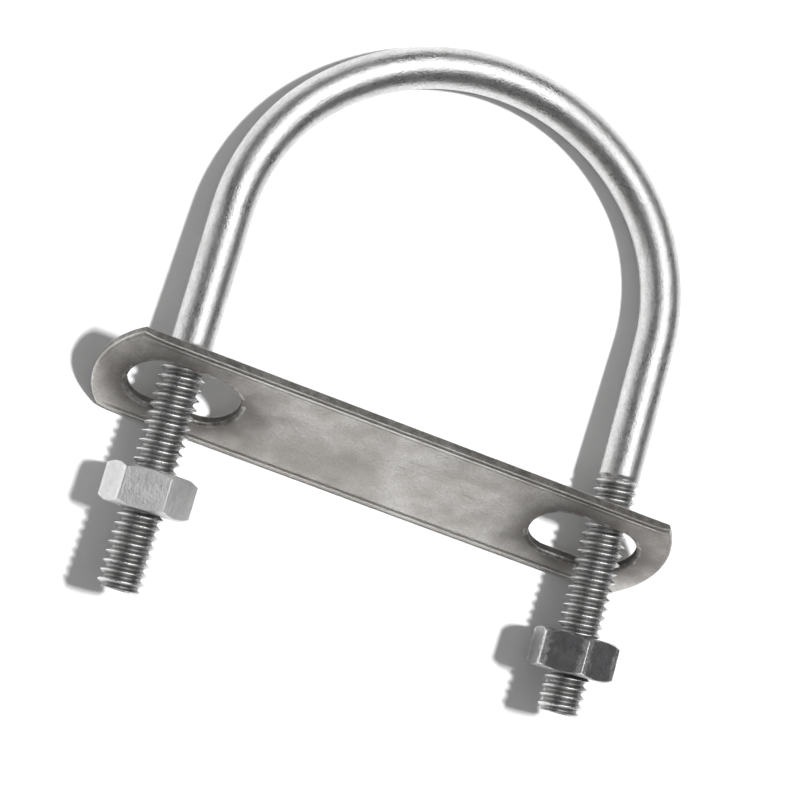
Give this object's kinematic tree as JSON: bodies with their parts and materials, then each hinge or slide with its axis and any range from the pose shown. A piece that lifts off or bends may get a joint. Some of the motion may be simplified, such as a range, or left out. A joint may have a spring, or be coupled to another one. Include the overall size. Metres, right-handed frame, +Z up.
{
  "type": "u-bolt with clamp plate",
  "caption": "Steel U-bolt that clasps a pipe or rail, with threaded legs, a slotted clamp plate across them and hex nuts.",
  "frame": {"origin": "on the surface the piece lies on, under the middle of its overall box", "axes": "+Z up, +Y along the legs towards the bow, +X across from the left leg to the right one"},
  "size_m": [0.0852, 0.0842, 0.0145],
  "materials": {
    "rod": "satin",
    "plate": "matt rolled sheet",
    "nut": "satin"
  },
  "bodies": {
    "bolt": {"u_bolt": "rod"},
    "plate": {"clamp_plate": "plate"},
    "left_nut": {"left_nut": "nut"},
    "right_nut": {"right_nut": "nut"}
  },
  "joints": [
    {"name": "plate_slide", "type": "slide", "parent": "bolt", "child": "plate", "axis": [0, 0.9975, -0.0712], "range_m": [0, 0.026]},
    {"name": "left_nut_travel", "type": "slide", "parent": "bolt", "child": "left_nut", "axis": [0.0131, 0.9974, -0.0712], "range_m": [-0.01016, 0.00508]},
    {"name": "right_nut_travel", "type": "slide", "parent": "bolt", "child": "right_nut", "axis": [-0.0131, 0.9974, -0.0712], "range_m": [-0.00508, 0.00635]}
  ]
}
